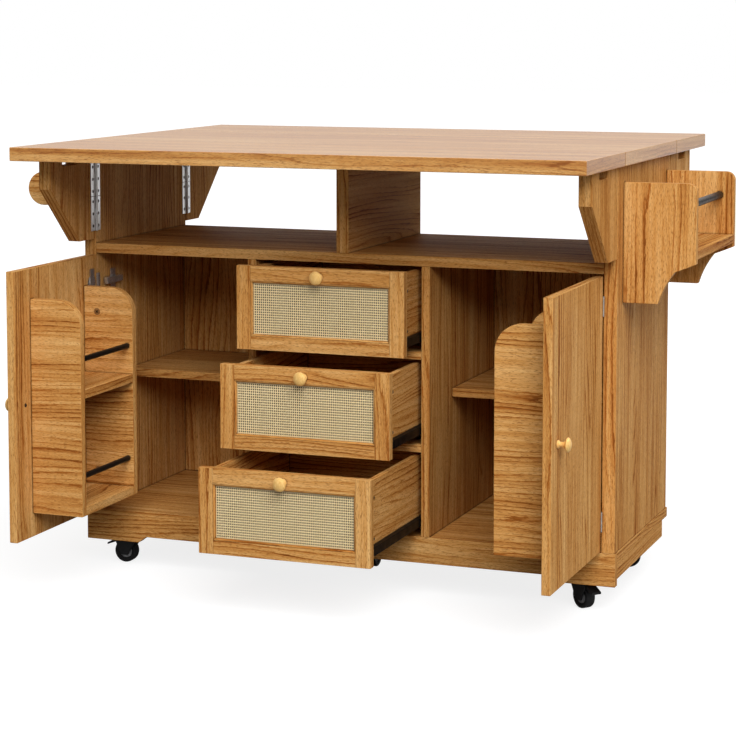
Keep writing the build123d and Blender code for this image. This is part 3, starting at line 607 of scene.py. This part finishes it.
def turned(profile, centre, axis, steps=48, ring=False):
    """A turned shape: (radius, height) points in millimetres about an axis through centre."""
    shape = bmesh.new()
    upright = Vector((0, 0, 1)).rotation_difference(Vector(axis)).to_matrix()
    rows = []
    for radius, height in profile:
        row = []
        for k in range(steps if radius else 1):
            turn = 2 * pi * k / steps
            point = upright @ Vector((radius * cos(turn), radius * sin(turn), height)) / 1000
            row.append(shape.verts.new(centre + point))
        rows.append(row)
    for low, high in list(zip(rows, rows[1:])) + ([(rows[-1], rows[0])] if ring else []):
        for k in range(steps):
            n = (k + 1) % steps
            around = [low[k % len(low)], low[n % len(low)], high[n % len(high)], high[k % len(high)]]
            shape.faces.new(list(dict.fromkeys(around)))
    bmesh.ops.recalc_face_normals(shape, faces=shape.faces)
    return shape


# a satin gold lacquer over the turned metal: it glows evenly and only softly mirrors the room
brass = finish(
    "satin gold lacquer on turned brass",
    "#FFD48A",
    "#EDB863",
    blotch=0.0016,
    rough=(0.36, 0.48),
    metal=0.30,
    stretch=(1, 1, 0.25),
)
for node, axis in (
    ("bottom_drawer_knob", (0, -1, 0)),
    ("middle_drawer_knob", (0, -1, 0)),
    ("top_drawer_knob", (0, -1, 0)),
    ("left_door_knob", (-1, 0, 0)),
    ("right_door_knob", (1, 0, 0)),
):
    low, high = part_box(node)
    foot = (low + high) / 2 - Vector(axis) * KNOB_LENGTH / 2
    fitted(eased(node + "_turned", [turned(KNOB, foot, axis)], edge=0.0, stuff=brass), node)

# End racks.
# A spice rack hangs on the right end: two boards with a shelf between, cut to a curl below, and a steel guard
# rod. On the left end two shorter ears carry a round wooden towel bar. Both are screwed on from inside.

joinery("spice_rack", edge=0.0012)
rod = eased("spice_rack_rod_tube", solids_of("spice_rack_rod"), edge=0.0004, stuff=black_tube)
fitted(rod, "spice_rack_rod")
joinery("towel_rack", edge=0.0012)

# Casters.
# Five swivel casters, one under each corner and one in the middle: a plate screwed to a block, a moulded fork
# and a rubber-tyred wheel with a grey hub. The front two have brake pedals.

# moulded nylon: black with a dull skin
nylon = finish("moulded black nylon", "#1C1C1D", "#101011", blotch=0.008, rough=(0.38, 0.50))
# rubber takes hardly any shine, but the rim holds a soft edge of light
rubber = finish("black rubber tyre", "#1A1A1B", "#0E0E0F", blotch=0.010, rough=(0.50, 0.66))
# the hub is moulded in a mid grey, so it stands out from the tyre as a pale disc
grey_hub = finish("grey moulded nylon hub", "#8C8C8E", "#6E6E70", blotch=0.006, rough=(0.35, 0.50))
plates = eased("caster_plates_pressed", solids_of("caster_plates"), edge=0.0005, stuff=zinc)
fitted(plates, "caster_plates")
# radius and place along the axle of each point of the profile, in millimetres
TYRE = (
    (15, -7.5), (16.2, -8.8), (20, -10.2), (22.6, -10.8), (24.1, -9.9), (24.8, -8.2), (25, -5.5), (25, 5.5),
    (24.8, 8.2), (24.1, 9.9), (22.6, 10.8), (20, 10.2), (16.2, 8.8), (15, 7.5),
)
HUB = (
    (0, -9.6), (4.6, -9.6), (5.2, -9.2), (5.4, -7.4), (6.4, -6.8), (12.4, -6.6), (13.4, -7.6), (15.2, -7.7),
    (15.2, 7.7), (13.4, 7.6), (12.4, 6.6), (6.4, 6.8), (5.4, 7.4), (5.2, 9.2), (4.6, 9.6), (0, 9.6),
)
for joint in frame["joints"]:
    if not joint["name"].endswith("_caster_roll"):
        continue
    wheel, fork = joint["child"], joint["parent"]
    centre = Vector(joint["pos_m"])
    tyre = turned(TYRE, centre, joint["axis"], steps=64, ring=True)
    fitted(eased(wheel + "_tyre", [tyre], edge=0.0, stuff=rubber), wheel)
    hub = turned(HUB, centre, joint["axis"], steps=40)
    fitted(eased(wheel + "_hub", [hub], edge=0.0, stuff=grey_hub), wheel)
    fitted(eased(fork + "_moulded", solids_of(fork), edge=0.0006, stuff=nylon), fork)
for pedal in ("front_left_brake_pedal", "front_right_brake_pedal"):
    fitted(eased(pedal + "_moulded", solids_of(pedal), edge=0.0008, stuff=nylon), pedal)

# Screws.
# Cross-head screws of steel, darkened by phosphate, hold the hinge leaves and the drawer sides, and one holds
# each door knob from inside. Round caps of brown plastic close the joints of the door racks.

# phosphate leaves a dull dark grey
dark_screw = finish(
    "phosphated screw steel", "#6A645E", "#46413D", blotch=0.002, rough=(0.40, 0.55), metal=1.0
)
# the caps are close to the wood in colour, and a little duller
brown_cap = finish("moulded brown plastic cap", "#8C6238", "#6F4A26", blotch=0.003, rough=(0.40, 0.55))
# the cross in a head holds no light, so it is darker still
cross_cut = finish("shaded cross recess", "#1A1714", "#100E0C", blotch=0.001, rough=(0.70, 0.85))
driving = bpy.data.node_groups.new("screw heads", "GeometryNodeTree")
driving.interface.new_socket("Geometry", in_out="INPUT", socket_type="NodeSocketGeometry")
driving.interface.new_socket("Geometry", in_out="OUTPUT", socket_type="NodeSocketGeometry")
screw_sizes = {}
for name, kind in (("Head radius", "Float"), ("Head height", "Float"), ("Stuff", "Material")):
    socket = driving.interface.new_socket(name, in_out="INPUT", socket_type="NodeSocket" + kind)
    screw_sizes[name] = socket.identifier
given = add(driving, "NodeGroupInput").node.outputs
radius, height = given["Head radius"], given["Head height"]
# a low cone, with two crossed bars that stand out of it by a hair as the recess
crown = add(driving, "ShaderNodeMath", {0: radius, 1: 0.7}, operation="MULTIPLY")
cone = {"Vertices": 20, "Radius Top": crown, "Radius Bottom": radius, "Depth": height}
cone = add(driving, "GeometryNodeMeshCone", cone)
slot_width = add(driving, "ShaderNodeMath", {0: radius, 1: 0.24}, operation="MULTIPLY")
bar = add(driving, "ShaderNodeCombineXYZ", {0: radius, 1: slot_width, 2: height})
bar = add(driving, "GeometryNodeMeshCube", {"Size": bar})
lift = add(driving, "ShaderNodeMath", {0: height, 1: 0.53}, operation="MULTIPLY")
lift = add(driving, "ShaderNodeCombineXYZ", {2: lift})
bars = [
    add(driving, "GeometryNodeTransform", {"Geometry": bar, "Translation": lift, "Rotation": (0, 0, turn)})
    for turn in (pi / 4, 3 * pi / 4)
]
cross = add(driving, "GeometryNodeJoinGeometry", {0: bars})
marked = {0: cross, "Name": "recess", "Value": True}
cross = add(driving, "GeometryNodeStoreNamedAttribute", marked, data_type="BOOLEAN", domain="FACE")
screw = add(driving, "GeometryNodeJoinGeometry", {0: [cone, cross]})
facing = add(driving, "GeometryNodeInputNamedAttribute", {"Name": "facing"}, data_type="FLOAT_VECTOR")
facing = add(driving, "FunctionNodeAlignRotationToVector", {"Vector": facing}, axis="Z")
set_out = {"Points": given["Geometry"], "Instance": screw, "Rotation": facing}
heads = add(driving, "GeometryNodeInstanceOnPoints", set_out)
heads = add(driving, "GeometryNodeRealizeInstances", {0: heads})
heads = add(driving, "GeometryNodeSetMaterial", {0: heads, "Material": given["Stuff"]})
recess = add(driving, "GeometryNodeInputNamedAttribute", {"Name": "recess"}, data_type="BOOLEAN")
heads = add(driving, "GeometryNodeSetMaterial", {0: heads, "Selection": recess, "Material": cross_cut})
add(driving, "NodeGroupOutput", {0: heads})


def driven(name, body, places, radius, height, stuff=dark_screw):
    """Screw heads of that radius and height at these places, each a (point, outward way) pair in metres."""
    mesh = bpy.data.meshes.new(name)
    mesh.from_pydata([point for point, way in places], [], [])
    ways = mesh.attributes.new("facing", "FLOAT_VECTOR", "POINT")
    for k, (point, way) in enumerate(places):
        ways.data[k].vector = way
    piece = bpy.data.objects.new(name, mesh)
    bpy.context.scene.collection.objects.link(piece)
    screws = piece.modifiers.new("screws", "NODES")
    screws.node_group = driving
    screws[screw_sizes["Head radius"]] = radius
    screws[screw_sizes["Head height"]] = height
    screws[screw_sizes["Stuff"]] = stuff
    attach(baked(piece), body)


def screw_row(flaps, way, step):
    """Three places along each hinge flap, one in its middle and one a step to each side of it."""
    row = []
    for flap in flaps:
        ends = [vert.co[ALONG[way]] for vert in flap.verts]
        middle = (min(ends) + max(ends)) / 2
        row += [middle - step, middle, middle + step]
    return sorted(row)


# the hinge screws: how far a flap's face lies from the pin, and the row of screws to each side of the pin
PIN_TO_FACE = 0.0017
BRACKET_STEP, BRACKET_REACH = 0.026, 0.01175
LEAF_STEP, LEAF_REACH = 0.025, 0.018
pins = {joint["child"]: Vector(joint["pos_m"]) for joint in frame["joints"] if "pos_m" in joint}
on_cabinet = []
for name, flaps in bracket_flaps.items():
    inward = 1 if "left" in name else -1
    forward = -1 if "front" in name else 1
    face = pins[name].x - inward * PIN_TO_FACE
    out, back = pins[name].y + forward * BRACKET_REACH, pins[name].y - forward * BRACKET_REACH
    levels = screw_row(flaps, "Z", BRACKET_STEP)
    on_bracket = [((face, out, z), (inward, 0, 0)) for z in levels]
    driven(name + "_screws", name, on_bracket, radius=0.0034, height=0.0007)
    on_cabinet += [((face, back, z), (inward, 0, 0)) for z in levels]
for name, forward in (("front_leaf", -1), ("rear_leaf", 1)):
    face = pins[name].z + PIN_TO_FACE
    out, back = pins[name].y + forward * LEAF_REACH, pins[name].y - forward * LEAF_REACH
    row = screw_row(leaf_flaps[name], "X", LEAF_STEP)
    on_leaf = [((x, out, face), (0, 0, -1)) for x in row]
    driven(name + "_screws", name, on_leaf, radius=0.0036, height=0.0007)
    on_cabinet += [((x, back, face), (0, 0, -1)) for x in row]
driven("cabinet_hinge_screws", "cabinet", on_cabinet, radius=0.0034, height=0.0007)
# the rack's caps: out from the door, in from the outer faces by a board, and up from the rack's foot
CAP_OUT, RACK_BOARD, CAP_RISES = 0.031, 0.018, (0.0497, 0.3873)
for side, inward in (("left", 1), ("right", -1)):
    low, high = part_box(side + "_door")
    inner = high.x if inward > 0 else low.x
    low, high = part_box(side + "_door_knob")
    knob = ((inner, (low.y + high.y) / 2, (low.z + high.z) / 2), (inward, 0, 0))
    driven(side + "_door_knob_screw", side + "_door", [knob], radius=0.0042, height=0.0012)
    low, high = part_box(side + "_door_rack")
    back = low.x if inward > 0 else high.x
    caps = [
        ((back + inward * CAP_OUT, y, low.z + rise), (0, way, 0))
        for y, way in ((low.y + RACK_BOARD, 1), (high.y - RACK_BOARD, -1))
        for rise in CAP_RISES
    ]
    driven(side + "_door_rack_caps", side + "_door", caps, radius=0.0074, height=0.0009, stuff=brown_cap)
# two screws through each drawer side: back from the front of the box and up from its foot
SCREW_BACK, SCREW_RISES = 0.0315, (0.011, 0.0924)
for drawer in ("bottom", "middle", "top"):
    low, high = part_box(drawer + "_drawer_box")
    in_sides = [
        ((x, low.y + SCREW_BACK, low.z + rise), (way, 0, 0))
        for x, way in ((low.x, -1), (high.x, 1))
        for rise in SCREW_RISES
    ]
    driven(drawer + "_drawer_screws", drawer + "_drawer", in_sides, radius=0.0036, height=0.0007)

# Room.
# A plain white room for the picture: a pale floor that keeps the cart's shadow, white behind it, one broad
# soft light high on the right in front, and a little light from all round.

FLOOR_REACH = 30
floor_mesh = bpy.data.meshes.new("floor")
floor_corners = [(x * FLOOR_REACH, y * FLOOR_REACH, 0) for x, y in ((-1, -1), (1, -1), (1, 1), (-1, 1))]
floor_mesh.from_pydata(floor_corners, [], [(0, 1, 2, 3)])
floor = bpy.data.objects.new("floor", floor_mesh)
bpy.context.scene.collection.objects.link(floor)
# matt white paper: it shows as white to the eye, a little less near the cart, and takes a soft grey shadow
paper = bpy.data.materials.new("white paper floor")
paper.use_nodes = True
tree = paper.node_tree
seen_by = add(tree, "ShaderNodeLightPath").node.outputs
spot = add(tree, "ShaderNodeTexCoord").node.outputs["Object"]
away = add(tree, "ShaderNodeVectorMath", {0: spot}, operation="LENGTH").node.outputs["Value"]
glow = add(tree, "ShaderNodeMapRange", {"Value": away, 1: 1.0, 2: 2.2, 3: 0.82, 4: 1.0})
glow = add(tree, "ShaderNodeMath", {0: glow, 1: seen_by["Is Camera Ray"]}, operation="MULTIPLY")
# behind the cart the floor shows as white in what is glossy too
behind = add(tree, "ShaderNodeSeparateXYZ", {0: spot}).node.outputs["Y"]
behind = add(tree, "ShaderNodeMapRange", {"Value": behind, 1: 0.8, 2: 2.4, 3: 0.0, 4: 0.85})
mirrored = {0: behind, 1: seen_by["Is Glossy Ray"], 2: glow}
glow = add(tree, "ShaderNodeMath", mirrored, operation="MULTIPLY_ADD")
matt = add(tree, "ShaderNodeBsdfDiffuse", {"Color": tint("#8C8C8C")})
bright = add(tree, "ShaderNodeEmission", {"Color": tint("#FFFFFF"), "Strength": glow})
plain = add(tree, "ShaderNodeAddShader", {0: matt, 1: bright})
tree.links.new(plain, tree.nodes["Material Output"].inputs["Surface"])
tree.nodes.remove(tree.nodes["Principled BSDF"])
floor_mesh.materials.append(paper)

# the room is white to the eye; its light comes mostly from behind, and gloss mirrors a bright ceiling
room = bpy.data.worlds.new("white room")
bpy.context.scene.world = room
room.use_nodes = True
tree = room.node_tree
seen_by = add(tree, "ShaderNodeLightPath").node.outputs
way = add(tree, "ShaderNodeTexCoord").node.outputs["Generated"]
way = add(tree, "ShaderNodeSeparateXYZ", {0: way}).node.outputs
behind = add(tree, "ShaderNodeMapRange", {"Value": way["Y"], 1: -0.4, 2: 0.4, 3: 0.15, 4: 1.0})
above = add(tree, "ShaderNodeMapRange", {"Value": way["Z"], 1: 0.08, 2: 0.5, 3: 0.05, 4: 2.3})
glossy = add(tree, "ShaderNodeMath", {0: behind, 1: above}, operation="MULTIPLY")
rear = add(tree, "ShaderNodeMapRange", {"Value": way["Z"], 1: 0.1, 2: 0.6, 3: 1.1, 4: 0.45})
soft = add(tree, "ShaderNodeMapRange", {"Value": way["Y"], 1: -0.4, 2: 0.4, 3: 0.12, 4: rear})
light = add(tree, "ShaderNodeMix", {0: seen_by["Is Glossy Ray"], 2: soft, 3: glossy}, data_type="FLOAT")
direct = {0: seen_by["Is Camera Ray"], 1: seen_by["Is Transmission Ray"]}
direct = add(tree, "ShaderNodeMath", direct, operation="MAXIMUM")
light = add(tree, "ShaderNodeMix", {0: direct, 2: light, 3: 1.0}, data_type="FLOAT")
tree.nodes["Background"].inputs["Color"].default_value = tint("#FFFFFF")
tree.links.new(light, tree.nodes["Background"].inputs["Strength"])

# the lamp: 8 m square, 10 m from the middle of the cart
AZIMUTH, HEIGHT, DISTANCE = radians(31), radians(39), 10.0
MIDDLE = Vector((0, 0, 0.5))
lamp = bpy.data.lights.new("soft light", "AREA")
lamp.shape = "SQUARE"
lamp.size = 8.0
lamp.energy = 1500
softbox = bpy.data.objects.new("soft light", lamp)
bpy.context.scene.collection.objects.link(softbox)
towards = Vector((sin(AZIMUTH) * cos(HEIGHT), -cos(AZIMUTH) * cos(HEIGHT), sin(HEIGHT)))
softbox.location = MIDDLE + DISTANCE * towards
softbox.visible_glossy = False
softbox.rotation_euler = towards.to_track_quat("Z", "Y").to_euler()

# the camera: nearly level, from the front and a little from the right
DOWN, ROUND = radians(5.2885), radians(20.8764)
lens = bpy.data.cameras.new("camera")
lens.sensor_width = 36
lens.lens = 106.4
lens.shift_y = -0.20
camera = bpy.data.objects.new("camera", lens)
camera.location = (1.6361, -4.30695, 1.1784)
camera.rotation_euler = (pi / 2 - DOWN, 0, ROUND)
bpy.context.scene.collection.objects.link(camera)
bpy.context.scene.camera = camera
bpy.context.scene.view_settings.view_transform = "Standard"
